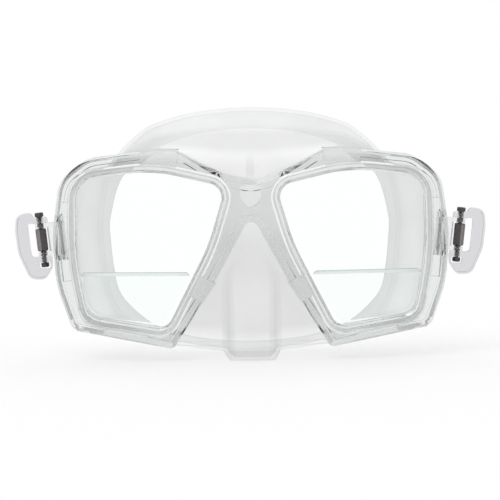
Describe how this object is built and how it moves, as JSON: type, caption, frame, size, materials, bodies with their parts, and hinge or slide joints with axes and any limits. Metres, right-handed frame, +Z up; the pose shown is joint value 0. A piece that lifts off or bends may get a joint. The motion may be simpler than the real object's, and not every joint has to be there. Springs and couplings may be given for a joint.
{
  "type": "snorkel mask",
  "caption": "Low-volume snorkel mask: separate lenses in a clear frame, bonded reader segments, a clear silicone skirt with a nose pocket, and swivelling strap buckles.",
  "frame": {"origin": "middle of the face seal, on the mirror plane and level with the middle of the lenses", "axes": "+X to the right seen from the front, +Y from the lenses towards the face, +Z up"},
  "size_m": [0.1946, 0.061, 0.1029],
  "materials": {
    "clear_frame": "clear polycarbonate, glossy",
    "clear_retainer": "clear polycarbonate, glossy",
    "lens_glass": "tempered glass, polished, faint green edge",
    "reader_glass": "polished glass",
    "silicone": "clear silicone, satin",
    "buckle_clear": "clear moulded plastic",
    "cam_black": "black moulded plastic, satin",
    "pin_steel": "stainless pin"
  },
  "bodies": {
    "mask": {"main_frame": "clear_frame", "skirt": "silicone", "left_lens_retainer": "clear_retainer", "right_lens_retainer": "clear_retainer", "left_lens": "lens_glass", "right_lens": "lens_glass", "left_reader_lens": "reader_glass", "right_reader_lens": "reader_glass", "left_swivel_pin": "pin_steel", "right_swivel_pin": "pin_steel"},
    "left_bracket": {"left_buckle_bracket": "buckle_clear", "left_cam_axle": "cam_black", "left_axle_cap": "cam_black"},
    "right_bracket": {"right_buckle_bracket": "buckle_clear", "right_cam_axle": "cam_black", "right_axle_cap": "cam_black"},
    "left_loop": {"left_buckle_loop": "buckle_clear"},
    "right_loop": {"right_buckle_loop": "buckle_clear"},
    "left_cam": {"left_strap_cam": "cam_black"},
    "right_cam": {"right_strap_cam": "cam_black"}
  },
  "joints": [
    {"name": "right_bracket_swivel", "type": "hinge", "parent": "mask", "child": "right_bracket", "pos_m": [0.07785, -0.0215, 0.00451], "axis": [0.1063, 0, 0.9943], "range_deg": [-5, 60]},
    {"name": "left_bracket_swivel", "type": "hinge", "parent": "mask", "child": "left_bracket", "pos_m": [-0.07785, -0.0215, 0.00451], "axis": [0.1063, 0, -0.9943], "range_deg": [-5, 60]},
    {"name": "right_loop_tilt", "type": "hinge", "parent": "right_bracket", "child": "right_loop", "pos_m": [0.0864, -0.0252, 0.0036], "axis": [0.1063, 0, 0.9943], "range_deg": [-40, 70]},
    {"name": "left_loop_tilt", "type": "hinge", "parent": "left_bracket", "child": "left_loop", "pos_m": [-0.0864, -0.0252, 0.0036], "axis": [0.1063, 0, -0.9943], "range_deg": [-40, 70]},
    {"name": "right_cam_rock", "type": "hinge", "parent": "right_bracket", "child": "right_cam", "pos_m": [0.0864, -0.0252, 0.0036], "axis": [0.1063, 0, 0.9943], "range_deg": [-20, 25]},
    {"name": "left_cam_rock", "type": "hinge", "parent": "left_bracket", "child": "left_cam", "pos_m": [-0.0864, -0.0252, 0.0036], "axis": [0.1063, 0, -0.9943], "range_deg": [-20, 25]}
  ]
}
